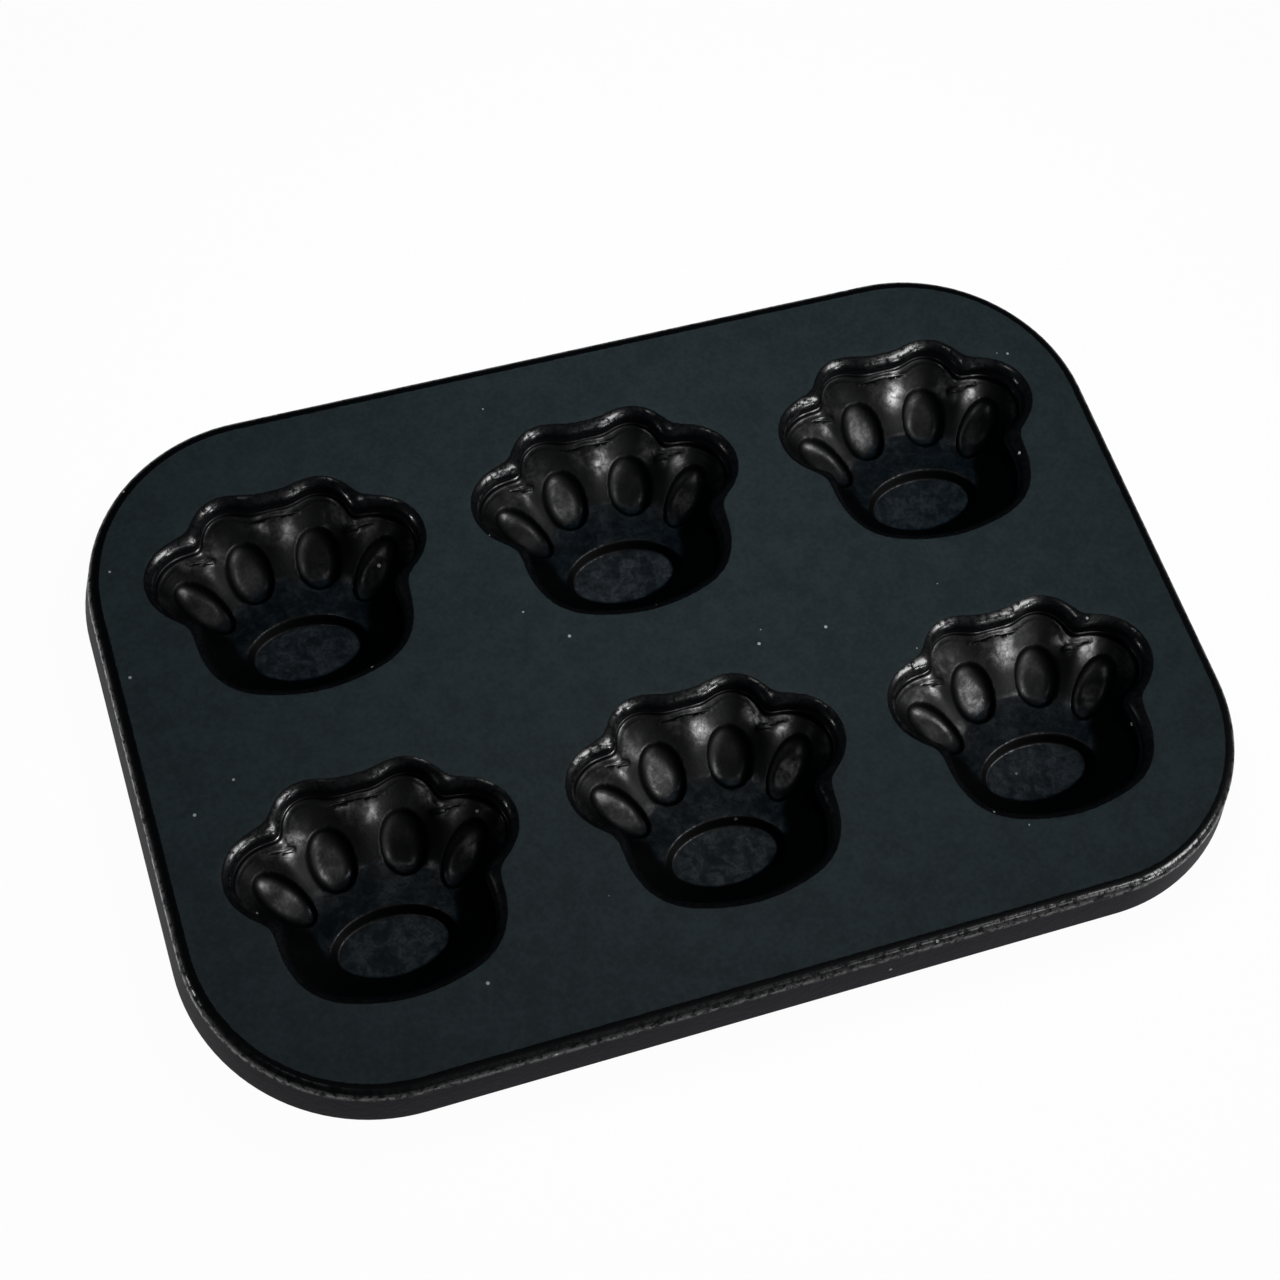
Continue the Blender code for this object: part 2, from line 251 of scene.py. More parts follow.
class PawSizes(bpy.types.PropertyGroup):
    """Outline and hollow of one paw, from the paw's middle, toes along +Y."""

    sheet: length("Cup sheet", 0.0010, "Thickness of a cup")
    inner_toe: lengths("Inner toe", (0.0134, 0.0231, 0.0107), "Centre and radius of an inner toe")
    outer_toe: lengths("Outer toe", (0.0269, 0.0093, 0.01415), "Centre and radius of an outer toe")
    shoulder: lengths("Shoulder", (0.0166, -0.0179, 0.0099), "Centre and radius of a heel's shoulder")
    palm: lengths("Palm", (0.0, 0.0141, 0.0175), "Centre and radius of the palm")
    heel: lengths("Heel", (0.0, -0.0104, 0.0308, 0.0240), "Centre and half sizes of the heel's oval")
    web: length("Web", 0.0030, "How softly the circles run into each other")
    wall: turn("Wall", 82, "Slope of the wall just under the collar")
    band: length("Wall band", 0.0012, "Width of the band that the wall stands in")
    side: number("Side", 1.3, "Roundness of the hollows' sides, where 1 is a straight cone")
    blend: length("Blend", 0.0018, "How softly the hollows meet in their ridges")
    ridge: length("Ridge", 0.0057, "Depth of the ridges at the lip")
    ridge_slope: number("Ridge slope", 0.20, "How fast the ridges go down from the lip")
    plateau: length("Plateau", 0.0148, "Depth of the flat floor")
    palm_hollow: lengths("Palm hollow", (0.0, -0.0045, 0.0360, 0.0295), "Centre and half sizes")
    palm_flat: number("Palm flat", 0.52, "Share of the palm hollow that is flat")
    toe_depth: length("Toe depth", 0.0120, "Depth of the toe hollows at the middle of their pads")
    toe_rise: number("Toe rise", 0.42, "How fast a toe's floor rises towards its tip")
    toe_span: number("Toe rise span", 1.5, "Share of a pad's half length past which the rise is gentler")
    toe_sink: length("Toe pad sink", 0.0024, "How deep a toe pad is sunk")
    toe_flat: number("Toe pad flat", 0.45, "Share of a toe pad that is level with its toe's floor")
    toe_side: number("Toe pad side", 2.0, "Roundness of the toe pads' sides")
    inner_pad: lengths("Inner pad", (0.0099, 0.0140, 0.0063, 0.0084), "Centre and half sizes of an inner pad")
    inner_turn: turn("Inner turn", 6.5, "Turn of an inner pad away from +Y")
    inner_share: number("Inner share", 0.36, "Size of an inner pad in its toe's hollow")
    outer_pad: lengths("Outer pad", (0.0248, 0.0063, 0.0052, 0.0094), "Centre and half sizes of an outer pad")
    outer_turn: turn("Outer turn", 42, "Turn of an outer pad away from +Y")
    outer_share: number("Outer share", 0.42, "Size of an outer pad in its toe's hollow")
    heel_pad: lengths("Heel pad", (0.0, -0.0126, 0.0170, 0.0106), "Centre and half sizes of the heel pad")
    heel_sink: length("Heel pad sink", 0.0034, "How deep the heel pad lies under the flat floor")
    heel_rim: length("Heel pad rim", 0.0019, "Width of the slope round the heel pad's flat floor")
    heel_side: number("Heel pad side", 1.1, "Roundness of the heel pad's side")
    flange: length("Flange", 0.0035, "Width of the cup's flange under the plate")
    steps: IntProperty(name="Steps", description="Points round a lip", default=360, min=24)
    cell: length("Cell", 0.0004, "Size of the cells in a hollow's floor")


class Finishes(bpy.types.PropertyGroup):
    """Colours and grain of the coatings and the wire, with the plate's coating in painted shade tones on the
    rim and the skirt.
    """

    coating: colour("Plate coating", (0.0170, 0.0248, 0.0280), "Matt coating of the plate's flat top")
    # Painted shade: the plate's one coating drawn near black over the lips and the rounded edge
    rim: colour("Rim painted shade", (0.0010, 0.0014, 0.0019), "Painted shade over the lips and the rounded edge")
    # Painted shade: the same coating drawn darker on the skirt than on the top
    skirt: colour("Skirt painted shade", (0.0070, 0.0070, 0.0095), "Painted shade tone of the coating on the skirt")
    cup: colour("Cup coating", (0.0017, 0.0054, 0.0086), "Darker coating of the hollows")
    steel: colour("Wire steel", (0.42, 0.42, 0.41), "Bare steel of the border wire")
    grain: length("Grain", 0.0009, "Size of the coating's pebbles")
    relief: length("Relief", 0.00008, "Height of the coating's pebbles")


class StageLook(bpy.types.PropertyGroup):
    """Floor, light and camera."""

    floor: colour("Floor", (0.95, 0.95, 0.95), "Plain pale floor")
    floor_glow: number("Floor glow", 0.97, "Share of plain white in the floor that the camera sees")
    sky: number("Sky", 0.06, "Strength of the even light from all round")
    lens: number("Lens", 67.19, "Focal length in millimetres")
    eye: lengths("Eye", (-0.1540, -0.27306, 0.60835), "Place of the camera")
    azimuth: turn("Azimuth", -28.061, "Direction that the camera stands in, from the near side")
    elevation: turn("Elevation", 61.947, "Height of the camera over the horizon")
    roll: turn("Roll", 11.287, "Turn of the picture")


def size_names(group):
    """Names of a group's own properties."""
    return [name for name in group.bl_rna.properties.keys() if name not in ("rna_type", "name")]


def plain(group):
    """Copy of a group's values, which is quicker to read than the group."""
    values = {name: getattr(group, name) for name in size_names(group)}
    return SimpleNamespace(**{name: tuple(value) if hasattr(value, "__len__") else value
                              for name, value in values.items()})


class Socket:
    """Output in a material's tree, so that shader maths reads as a Python expression."""

    def __init__(self, tree, output):
        self.tree = tree
        self.output = output

    def maths(self, operation, *values):
        """Maths node over sockets or numbers."""
        node = self.tree.nodes.new("ShaderNodeMath")
        node.operation = operation
        for slot, value in zip(node.inputs, values):
            if isinstance(value, Socket):
                self.tree.links.new(value.output, slot)
            else:
                slot.default_value = value
        return Socket(self.tree, node.outputs[0])

    def __add__(self, other):
        return self.maths("ADD", self, other)

    def __radd__(self, other):
        return self.maths("ADD", other, self)

    def __sub__(self, other):
        return self.maths("SUBTRACT", self, other)

    def __rsub__(self, other):
        return self.maths("SUBTRACT", other, self)

    def __mul__(self, other):
        return self.maths("MULTIPLY", self, other)

    def __rmul__(self, other):
        return self.maths("MULTIPLY", other, self)

    def __gt__(self, other):
        return self.maths("GREATER_THAN", self, other)


def mean(first, second):
    """Mean of two sockets."""
    return first * 0.5 + second * 0.5


def lifted(value, least):
    """Socket that runs from a least share up to 1, where the given one runs from 0 to 1."""
    return least + (1.0 - least) * value


def tinted(tone, factor):
    """Colour made lighter or darker."""
    return tuple(min(1.0, part * factor) for part in tone)


class Finish:
    """Principled material whose nodes are added by one method."""

    def __init__(self, name):
        self.material = bpy.data.materials.new(name)
        self.material.use_nodes = True
        self.tree = self.material.node_tree
        self.shader = self.tree.nodes["Principled BSDF"]
        self.place = self.node("ShaderNodeTexCoord", out="Object")

    def node(self, kind, settings=None, inputs=None, out=0):
        """Node of any kind with its settings, then its inputs by name or number."""
        node = self.tree.nodes.new(kind)
        for name, value in (settings or {}).items():
            setattr(node, name, value)
        for name, value in (inputs or {}).items():
            self.feed(node.inputs[name], value)
        return Socket(self.tree, node.outputs[out])

    def feed(self, slot, value):
        """Link an input, or set its value."""
        if isinstance(value, Socket):
            self.tree.links.new(value.output, slot)
        elif hasattr(value, "__len__"):
            slot.default_value = (*value, 1)
        else:
            slot.default_value = value

    def set(self, **values):
        """Values or links of the shader's own inputs."""
        for name, value in values.items():
            self.feed(self.shader.inputs[name.replace("_", " ")], value)

    def attribute(self, name):
        """Attribute that the mesh holds."""
        return self.node("ShaderNodeAttribute", {"attribute_name": name}, out="Fac")

    def noise(self, size, detail, roughness=0.5, distortion=0.0):
        """Noise whose lumps are about the given size in metres."""
        return self.node("ShaderNodeTexNoise", None,
                         {"Vector": self.place, "Scale": 1 / size, "Detail": detail,
                          "Roughness": roughness, "Distortion": distortion})

    def height(self):
        """Height of a point over the table."""
        return self.node("ShaderNodeSeparateXYZ", None, {"Vector": self.place}, out="Z")

    def fade(self, value, low, high):
        """Smooth step from 0 at the low value to 1 at the high one."""
        return self.node("ShaderNodeMapRange", {"interpolation_type": "SMOOTHSTEP"},
                         {"Value": value, "From Min": low, "From Max": high})

    def mix(self, factor, first, second):
        """Colour between two colours."""
        return self.node("ShaderNodeMix", {"data_type": "RGBA"}, {0: factor, 6: first, 7: second}, out=2)

    def shaded(self, factor, tone, tints):
        """Colour between the dark and the light tint of a tone."""
        dark, light = tints
        return self.mix(factor, tinted(tone, dark), tinted(tone, light))

    def dusted(self, base, spacing, strength):
        """A few pale specks of dust over a colour."""
        dust = self.node("ShaderNodeTexVoronoi", {"feature": "F1"},
                         {"Vector": self.place, "Scale": 1 / spacing, "Randomness": 1.0}, out="Distance")
        return self.mix((DUST_REACH - dust > 0.0) * strength, base, DUST_TONE)

    def bump(self, height, distance):
        """Bump for a height that runs from 0 to 1, with its full distance in metres."""
        return self.node("ShaderNodeBump", None,
                         {"Height": height, "Distance": distance, "Strength": 1.0}, out="Normal")


def plate_coating(look):
    """Matt coating: flat top, lips and edges pebbled and painted darker as shade, and the skirt in a painted
    shade tone.
    """
    finish = Finish("plate_coating")
    depth = PLATE_HIGH.z - finish.height()
    bend = finish.fade(depth, *BEND_DEPTHS)
    skirt = finish.fade(depth, *SKIRT_DEPTHS)
    crumbs = finish.noise(look.grain * CRUMB_GRAINS, detail=4.0, roughness=0.7)
    ragged = (crumbs - NOISE_MIDDLE) * RIM_RAGGED
    # The rim mask paints the lips and the rounded edge dark as shade, and lifts their pebbles
    rim = finish.fade(finish.attribute("rim") + ragged, *RIM_FADE)
    clouds = finish.noise(CLOUD_SIZE, detail=5.0, roughness=0.65)
    fine = finish.noise(look.grain * FINE_GRAINS, detail=3.0, roughness=0.6)
    shade = finish.fade(mean(clouds, fine), *SHADE_FADE)
    # The lips and the rounded edge are painted in the rim's shade colour
    base = finish.mix(rim, finish.shaded(shade, look.coating, TOP_TINTS), look.rim)
    # The skirt is painted in a darker shade tone of the coating
    base = finish.mix(skirt, base, finish.shaded(shade, look.skirt, SKIRT_TINTS))
    pebbles = finish.fade(crumbs, *PEBBLE_FADE)
    relief = finish.bump(crumbs * lifted(rim, TOP_RELIEF), look.relief * PLATE_RELIEF)
    finish.set(Base_Color=finish.dusted(base, spacing=0.013, strength=0.7),
               Roughness=TOP_ROUGHNESS + TOP_SWING * (fine - NOISE_MIDDLE), IOR=1.5,
               Specular_IOR_Level=0.02, Coat_Weight=bend * (1.0 - skirt) * pebbles,
               Coat_Roughness=0.22, Coat_IOR=1.28, Normal=relief)
    return finish.material


def hollow_coating(look):
    """Darker coating of the hollows, painted near black as shade on the slopes, and glossy where the polish
    says so.
    """
    finish = Finish("hollow_coating")
    clouds = finish.noise(BLOTCH_SIZE, detail=4.0, roughness=0.6, distortion=0.6)
    grains = finish.noise(look.grain * HOLLOW_GRAINS, detail=4.0, roughness=0.7, distortion=0.8)
    blotches = finish.fade(clouds, *BLOTCH_FADE)
    fine = finish.fade(grains, *BLOTCH_FADE)
    base = finish.shaded(mean(blotches, fine), look.cup, HOLLOW_TINTS)
    # Off the flat floor, on slopes and walls, the colour is painted near black as shade
    base = finish.mix(finish.attribute("floor"), tinted(look.cup, SLOPE_SHADE), base)
    gloss = finish.attribute("polish") * lifted(blotches, BLOTCH_GLOSS) * lifted(fine, FINE_GLOSS)
    crumbs = finish.noise(look.grain, detail=3.0, roughness=0.6)
    finish.set(Base_Color=finish.dusted(base, spacing=0.016, strength=0.3), Roughness=0.5, IOR=1.5,
               Specular_IOR_Level=0.04, Coat_Weight=gloss, Coat_Roughness=0.29, Coat_IOR=1.6,
               Normal=finish.bump(crumbs, look.relief * HOLLOW_RELIEF))
    return finish.material


def drawn_steel(look):
    """Bare drawn wire with fine dark scratches along it."""
    finish = Finish("border_steel")
    streaks = finish.noise(STREAK_SIZE, detail=4.0)
    finish.set(Base_Color=finish.shaded(streaks, look.steel, STEEL_TINTS), Metallic=1.0,
               Roughness=STEEL_ROUGHNESS + STREAK_ROUGHNESS * streaks,
               Normal=finish.bump(streaks, STREAK_RELIEF))
    return finish.material


def pale_floor(look):
    """Floor whose own white shows to the camera and in reflections, under the mould's shadow."""
    finish = Finish("pale_floor")
    path = finish.tree.nodes.new("ShaderNodeLightPath")
    camera, glossy, transmission = (Socket(finish.tree, path.outputs[name]) for name in
                                    ("Is Camera Ray", "Is Glossy Ray", "Is Transmission Ray"))
    finish.set(Base_Color=look.floor, Roughness=0.9, Specular_IOR_Level=0.0)
    glow = finish.node("ShaderNodeEmission", None, {"Color": (1.0, 1.0, 1.0), "Strength": 1.0})
    body = Socket(finish.tree, finish.shader.outputs[0])
    factor = (camera + glossy + transmission) * look.floor_glow
    mixed = finish.node("ShaderNodeMixShader", None, {0: factor, 1: body, 2: glow})
    finish.feed(finish.tree.nodes["Material Output"].inputs["Surface"], mixed)
    return finish.material


def oval(x, y, centre_x, centre_y, half_width, half_length, angle=0.0):
    """Shares of the way from an oval's centre to its edge, across it and along it."""
    dx = x - centre_x
    dy = y - centre_y
    across = dx * math.cos(angle) + dy * math.sin(angle)
    along = dy * math.cos(angle) - dx * math.sin(angle)
    return across / half_width, along / half_length


def reach(x, y, place):
    """Share of the way from an oval's centre to its edge."""
    return math.hypot(*oval(x, y, *place))


def smooth(value, start, width):
    """Smooth step from 0 at the start to 1 past the width."""
    part = max(0.0, min(1.0, (value - start) / width))
    return part * part * (3 - 2 * part)


def bowl(out, flat, depth, side):
    """Depth of a bowl with a flat middle, at a share of the way out from its centre."""
    if out >= 1:
        return 0.0
    if out <= flat:
        return depth
    return depth * (1 - ((out - flat) / (1 - flat)) ** side) ** (1 / side)


def between(inner, outer):
    """Share of the way from the edge of an inner oval to that of an outer one, given both reaches."""
    if outer >= 1:
        return 1.0
    if inner <= 1:
        return 0.0
    return (inner - 1) / (inner - outer)


def arc(whole, steps):
    """Angles from 0 to the whole one, both ends among them."""
    return [whole * step / steps for step in range(steps + 1)]


class Paw:
    """Outline and hollow of a paw, worked out from the panel's sizes."""

    def __init__(self, sizes, plate, density=1):
        sizes = plain(sizes)
        self.sizes = sizes
        self.circles = [sizes.palm]
        self.pads = []
        for side in (-1, 1):
            for x, y, radius in (sizes.inner_toe, sizes.outer_toe, sizes.shoulder):
                self.circles.append((side * x, y, radius))
            for pad, angle, part in ((sizes.inner_pad, sizes.inner_turn, sizes.inner_share),
                                     (sizes.outer_pad, sizes.outer_turn, sizes.outer_share)):
                self.pads.append(((side * pad[0], *pad[1:], -side * angle), part))
        self.heel_floor = (*sizes.heel_pad[:2], *(half - sizes.heel_rim for half in sizes.heel_pad[2:]))
        self.lip = plate.lip
        self.seam = plate.collar + plate.gap
        self.slope = math.tan(sizes.wall)
        self.deepest = sizes.plateau + sizes.heel_sink
        self.count = sizes.steps * density
        self.start = self.outline()
        self.known = {}

    def field(self, x, y):
        """Signed distance to the outline, negative inside."""
        distances = [math.hypot(x - cx, y - cy) - radius for cx, cy, radius in self.circles]
        cx, cy, half_width, half_length = self.sizes.heel
        u = (x - cx) / half_width
        v = (y - cy) / half_length
        out = math.hypot(u, v)
        slope = math.hypot(u / half_width, v / half_length)
        if slope > 0:
            distances.append((out - 1) * out / slope)
        web = self.sizes.web
        return -web * math.log(sum(math.exp(-distance / web) for distance in distances))

    def radius(self, angle):
        """Distance from the paw's middle to the middle of the lip."""
        near = 0.0
        far = FAR_OUT
        for _ in range(HALVINGS):
            middle = (near + far) / 2
            if self.field(middle * math.cos(angle), middle * math.sin(angle)) > -self.lip / 2:
                far = middle
            else:
                near = middle
        return (near + far) / 2

    def outline(self):
        """Points evenly spaced along the middle of the lip."""
        rough = []
        for angle in arc(2 * math.pi, self.count * ROUGH):
            radius = self.radius(angle)
            rough.append((radius * math.cos(angle), radius * math.sin(angle)))
        run = [0.0]
        for a, b in zip(rough, rough[1:]):
            run.append(run[-1] + math.dist(a, b))
        points = []
        step = 0
        for point in range(self.count):
            goal = run[-1] * point / self.count
            while run[step + 1] <= goal:
                step += 1
            part = (goal - run[step]) / (run[step + 1] - run[step])
            points.append(tuple(a + (b - a) * part for a, b in zip(rough[step], rough[step + 1])))
        return points

    def moved(self, x, y, inset):
        """Point at an inset, reached square to the outline."""
        for _ in range(ROUNDS):
            here = self.field(x, y)
            dx = (self.field(x + TICK, y) - here) / TICK
            dy = (self.field(x, y + TICK) - here) / TICK
            move = (here + inset) / (dx * dx + dy * dy)
            x -= move * dx
            y -= move * dy
        return x, y

    def forms(self, x, y):
        """Inset from the outline, depths of the ridge, palm and toes, and places on the toe pads."""
        sizes = self.sizes
        inset = -self.field(x, y)
        ridge = sizes.ridge + (inset - self.lip) * sizes.ridge_slope
        floors = [ridge, bowl(reach(x, y, sizes.palm_hollow), sizes.palm_flat, sizes.plateau, sizes.side)]
        places = []
        for pad, part in self.pads:
            across, along = oval(x, y, *pad)
            rise = sizes.toe_rise * pad[3] * sizes.toe_span * math.tanh(along / sizes.toe_span)
            floors.append(bowl(math.hypot(across, along) * part, part, sizes.toe_depth, sizes.side) - rise)
            places.append((across, along))
        return inset, floors, places

    def depth(self, x, y):
        """Depth of the hollow under the plate's top face."""
        sizes = self.sizes
        inset, floors, places = self.forms(x, y)
        wall = self.seam + (inset - self.lip) * self.slope
        rim = between(reach(x, y, self.heel_floor), reach(x, y, sizes.heel_pad))
        sink = bowl(rim, 0.0, sizes.heel_sink, sizes.heel_side)
        for place in places:
            sink = max(sink, bowl(math.hypot(*place), sizes.toe_flat, sizes.toe_sink, sizes.toe_side))
        soft = sizes.blend * math.log(sum(math.exp(floor / sizes.blend) for floor in floors))
        down = (inset - self.lip) / sizes.band
        if down < 1:
            blend = WALL_BLEND * (1 - down) + LEAST_BLEND
            soft = -blend * math.log(math.exp((sink - wall) / blend) + math.exp(-soft / blend))
        return min(soft + sink, self.deepest)

    def polish(self, x, y, level):
        """Shares of the flat floor, which keeps the colour while the rest is painted dark as shade, and of
        gloss, which is most on the crests and none on steep slopes.
        """
        sizes = self.sizes
        _, floors, places = self.forms(x, y)
        heel = 1 - smooth(reach(x, y, self.heel_floor), *HEEL_FADE)
        palm = PALM_SHADE_AND_GLOSS * (1 - smooth(reach(x, y, sizes.palm_hollow) - sizes.palm_flat, *PALM_FADE))
        # The flat share keeps the coating's colour; steeper ground is painted dark as shade
        flat = max(heel, palm) * smooth(level, *FLAT_LEVEL)
        shares = [flat]
        behind = 0.0
        for across, along in places:
            behind = max(behind, smooth(along, *PAST_PAD) * (1 - smooth(abs(across), *BESIDE_PAD)))
            pad = 1 - smooth(math.hypot(across, along), *PAD_FADE)
            shares.append(PAD_GLOSS * pad * smooth(level, *PAD_LEVEL))
        total = sum(math.exp((floor - floors[0]) / sizes.blend) for floor in floors)
        crest = smooth(1.0 / total, *CREST_FADE) * smooth(y, *TOES_FADE) * (1 - PAST_DIM * behind)
        return flat, max(*shares, crest * smooth(level, *CREST_LEVEL))

    def ring(self, inset, depth=None, centre=(0.0, 0.0)):
        """Points round the paw; without a depth they follow the hollow."""
        key = round(inset, 7)
        if key not in self.known:
            self.known[key] = [self.moved(x, y, inset) for x, y in self.start]
        points = []
        for x, y in self.known[key]:
            down = self.depth(x, y) if depth is None else depth
            points.append((x + centre[0], y + centre[1], PLATE_HIGH.z - down))
        return points


def merge(mesh):
    """Join the points that lie on each other."""
    bmesh.ops.remove_doubles(mesh, verts=mesh.verts, dist=MERGE)


def fill(mesh, rims):
    """Close the flat gap between rims with triangles."""
    bmesh.ops.triangle_fill(mesh, edges=rims, use_beauty=True, normal=(0, 0, 1))


def wrap_grid(mesh, rings, plain_rows=0):
    """Add a grid and wrap it round, each row on one ring; rows after the plain ones are marked as rim, which
    is painted dark as shade.
    """
    marks = mesh.verts.layers.float.get("rim")
    columns = len(rings[0])
    rows = len(rings) - 1
    points = bmesh.ops.create_grid(mesh, x_segments=columns, y_segments=rows, size=1.0)["verts"]
    for vert in points:
        column = round((vert.co.x + 1) / 2 * columns) % columns
        row = round((vert.co.y + 1) / 2 * rows)
        vert.co = rings[row][column]
        if marks:
            vert[marks] = float(row >= plain_rows)


def face_up(mesh):
    """Merge the seams and turn the faces so that the largest one looks up."""
    merge(mesh)
    bmesh.ops.recalc_face_normals(mesh, faces=mesh.faces)
    level = max(mesh.faces, key=lambda face: face.calc_area())
    if level.normal.z < 0:
        bmesh.ops.reverse_faces(mesh, faces=mesh.faces)


def finished(name, mesh):
    """Mesh data with its open edges sharp; the working mesh is freed."""
    for edge in mesh.edges:
        edge.smooth = not edge.is_boundary
    data = bpy.data.meshes.new(name)
    mesh.to_mesh(data)
    mesh.free()
    return data


def piece(name, data, material, stands_for, sheet=0.0, even=True):
    """Object on the root body that stands for a node of the frame; a sheet gives it a thickness."""
    data.shade_smooth()
    data.materials.append(material)
    item = bpy.data.objects.new(name, data)
    bpy.context.scene.collection.objects.link(item)
    if sheet:
        wall = item.modifiers.new("sheet", "SOLIDIFY")
        wall.thickness = sheet
        wall.offset = -1.0
        wall.use_even_offset = even
    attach(item, "root")
    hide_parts(stands_for)


def cup_centre(node):
    """Middle of a paw, from the box of its cup."""
    low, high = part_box(node)
    paw = bpy.context.scene.paw_sizes
    top = paw.inner_toe[1] + paw.inner_toe[2]
    foot = paw.heel[1] - paw.heel[3]
    return Vector(((low.x + high.x) / 2, (low.y + high.y) / 2 - (top + foot) / 2))


def plate_ring(sizes, outset, depth):
    """Points round the plate, moved outwards from the foot of its top edge."""
    half_x = PLATE_HIGH.x - sizes.flare
    half_y = PLATE_HIGH.y - sizes.flare
    radius = sizes.corner + outset
    points = []
    for quarter, (sx, sy) in enumerate(((1, 1), (-1, 1), (-1, -1), (1, -1))):
        for step in range(CORNER_STEPS + 1):
            angle = math.pi / 2 * (quarter + step / CORNER_STEPS)
            x = sx * (half_x - sizes.corner) + radius * math.cos(angle)
            y = sy * (half_y - sizes.corner) + radius * math.sin(angle)
            points.append((x, y, PLATE_HIGH.z - depth))
    return points


def hem_radius(sizes):
    """Radius of the hem's outer face round the wire's middle."""
    return sizes.wire / 2 + sizes.gap + sizes.sheet


def hem_rings(sizes, radius, whole, steps):
    """Rings at a radius round the wire's middle, from the outer side down and inwards."""
    outset = sizes.flare - hem_radius(sizes)
    depth = PLATE_HIGH.z - PLATE_LOW.z - hem_radius(sizes)
    return [plate_ring(sizes, outset + radius * math.cos(angle), depth + radius * math.sin(angle))
            for angle in arc(whole, steps)]


def lip_rings(paw, sizes, centre):
    """Rings from the flat top over the lip and down the collar."""
    rings = [paw.ring(-LIP_MARGIN, 0.0, centre)]
    for angle in arc(math.pi / 2, LIP_STEPS):
        rings.append(paw.ring(sizes.lip * math.sin(angle), sizes.lip * (1 - math.cos(angle)), centre))
    rings.append(paw.ring(sizes.lip, sizes.collar, centre))
    return rings


def skirt_rings(sizes):
    """Rings from the flat top over the edge, down the skirt and round the hem."""
    rings = [plate_ring(sizes, -sizes.edge - margin, 0.0) for margin in EDGE_MARGINS]
    for angle in arc(math.pi / 2, EDGE_STEPS):
        outset = sizes.edge * (math.sin(angle) - 1)
        rings.append(plate_ring(sizes, outset, sizes.edge * (1 - math.cos(angle))))
    return rings + hem_rings(sizes, hem_radius(sizes), sizes.curl, HEM_STEPS)


class MOULD_OT_plate(bpy.types.Operator):
    """Plate with six lipped openings, a rounded top edge, a skirt and a curled hem"""

    bl_idname = "mould.plate"
    bl_label = "Plate"

    def execute(self, context):
        sizes = context.scene.plate_sizes
        paw = Paw(context.scene.paw_sizes, sizes)
        mesh = bmesh.new()
        mesh.verts.layers.float.new("rim")
        for node in CUPS:
            wrap_grid(mesh, lip_rings(paw, sizes, cup_centre(node)), LIP_PLAIN)
        wrap_grid(mesh, skirt_rings(sizes), EDGE_PLAIN)
        merge(mesh)
        level = PLATE_HIGH.z - TOP_SLACK
        fill(mesh, [edge for edge in mesh.edges
                    if edge.is_boundary and min(vert.co.z for vert in edge.verts) > level])
        face_up(mesh)
        coating = plate_coating(context.scene.finishes)
        piece("plate", finished("plate", mesh), coating, "frame_plate", sizes.sheet)
        return {"FINISHED"}


class MOULD_OT_wire(bpy.types.Operator):
    """Border wire in the curl of the hem"""

    bl_idname = "mould.border_wire"
    bl_label = "Border wire"

    def execute(self, context):
        sizes = context.scene.plate_sizes
        mesh = bmesh.new()
        wrap_grid(mesh, hem_rings(sizes, sizes.wire / 2, 2 * math.pi, WIRE_STEPS))
        merge(mesh)
        bmesh.ops.recalc_face_normals(mesh, faces=mesh.faces)
        steel = drawn_steel(context.scene.finishes)
        piece("wire_loop", finished("wire_loop", mesh), steel, "border_wire")
        return {"FINISHED"}


class MOULD_OT_cups(bpy.types.Operator):
    """Six paw cups, each with a flange, a groove for the collar and a padded hollow"""

    bl_idname = "mould.cups"
    bl_label = "Paw cups"

    def execute(self, context):
        plate = context.scene.plate_sizes
        sizes = context.scene.paw_sizes
        paw = Paw(sizes, plate, CUP_DENSITY)
        mesh = bmesh.new()
        rings = cup_rings(paw, plate)
        wrap_grid(mesh, rings)
        add_cup_floor(mesh, paw, rings[-1])
        face_up(mesh)
        mark_polish(mesh, paw)
        pattern = finished("paw_hollow", mesh)
        coating = hollow_coating(context.scene.finishes)
        for index, node in enumerate(CUPS, start=1):
            data = pattern.copy()
            data.transform(Matrix.Translation((*cup_centre(node), 0.0)))
            piece(f"hollow_{index}", data, coating, node, sizes.sheet, even=False)
        bpy.data.meshes.remove(pattern)
        return {"FINISHED"}


def cup_rings(paw, plate):
    """Rings from the flange over the groove and down the wall."""
    under = plate.sheet + plate.gap
    groove = plate.lip - under
    rings = [paw.ring(-paw.sizes.flange, under), paw.ring(0.0, under), paw.ring(groove, plate.lip)]
    rings += [paw.ring(groove, paw.seam), paw.ring(plate.lip, paw.seam)]
    rings += [paw.ring(plate.lip + paw.sizes.band * part) for part in WALL_SHARES]
    return rings


